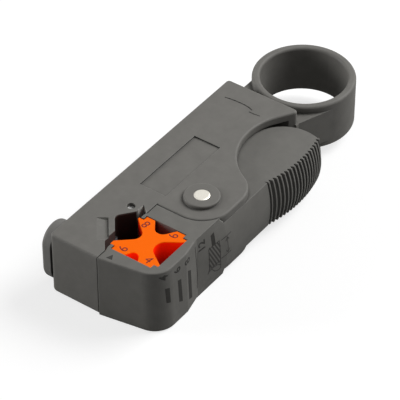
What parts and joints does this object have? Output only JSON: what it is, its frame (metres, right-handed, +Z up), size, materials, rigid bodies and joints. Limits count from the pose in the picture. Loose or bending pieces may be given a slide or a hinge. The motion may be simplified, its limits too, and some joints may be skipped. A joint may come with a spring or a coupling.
{
  "type": "coaxial cable stripper",
  "caption": "Hand-held rotary coaxial cable stripper with a finger ring, a spring-closed pivoting jaw lever, adjustable blades and a reversible grooved cable cassette.",
  "frame": {"origin": "on the rest face, under the axis of the lever's pivot pin", "axes": "+X from the jaw to the finger ring, +Y to the flat side with the blade cartridge, +Z up along the pivot"},
  "size_m": [0.1056, 0.0377, 0.0204],
  "materials": {
    "grey_moulding": "fine moulded texture",
    "orange_moulding": "smooth satin",
    "bright_steel": "bright",
    "spring_steel": "drawn wire",
    "blade_steel": "ground",
    "dark_steel": "black oxide",
    "brass": "turned"
  },
  "bodies": {
    "body": {"body_frame": "grey_moulding", "pivot_pin": "bright_steel", "pin_washer": "bright_steel", "anchor_pin": "bright_steel", "blade_cartridge": "grey_moulding", "upper_thread_insert": "brass", "lower_thread_insert": "brass", "return_spring": "spring_steel", "upper_blade_spring": "spring_steel", "lower_blade_spring": "spring_steel"},
    "lever": {"jaw_lever": "grey_moulding"},
    "cassette": {"cable_cassette": "orange_moulding"},
    "upper_blade": {"upper_blade": "blade_steel"},
    "upper_screw": {"upper_depth_screw": "dark_steel"},
    "lower_blade": {"lower_blade": "blade_steel"},
    "lower_screw": {"lower_depth_screw": "dark_steel"}
  },
  "joints": [
    {"name": "lever_pivot", "type": "hinge", "parent": "body", "child": "lever", "pos_m": [0, 0, 0.0102], "axis": [0, 0, 1], "range_deg": [0, 16], "stiffness_Nm_per_rad": 0.3, "springref_deg": -28.65, "deforming": ["return_spring"]},
    {"name": "cassette_lift", "type": "slide", "parent": "lever", "child": "cassette", "axis": [0, 0, 1], "range_m": [0, 0.02]},
    {"name": "upper_blade_depth", "type": "slide", "parent": "body", "child": "upper_blade", "axis": [-0.6157, 0.788, 0], "range_m": [-0.0003, 0.0006], "deforming": ["upper_blade_spring"]},
    {"name": "upper_screw_turn", "type": "hinge", "parent": "upper_blade", "child": "upper_screw", "pos_m": [-0.02734, 0.02102, 0.0132], "axis": [-0.6157, 0.788, 0], "range_deg": [-260, 500]},
    {"name": "lower_blade_depth", "type": "slide", "parent": "body", "child": "lower_blade", "axis": [-0.6157, 0.788, 0], "range_m": [-0.0003, 0.0006], "deforming": ["lower_blade_spring"]},
    {"name": "lower_screw_turn", "type": "hinge", "parent": "lower_blade", "child": "lower_screw", "pos_m": [-0.02734, 0.02102, 0.0072], "axis": [-0.6157, 0.788, 0], "range_deg": [-260, 500]}
  ],
  "couplings": [
    {"joint": "upper_screw_turn", "follows": "upper_blade_depth", "rad_per_m": 13963},
    {"joint": "lower_screw_turn", "follows": "lower_blade_depth", "rad_per_m": 13963}
  ]
}
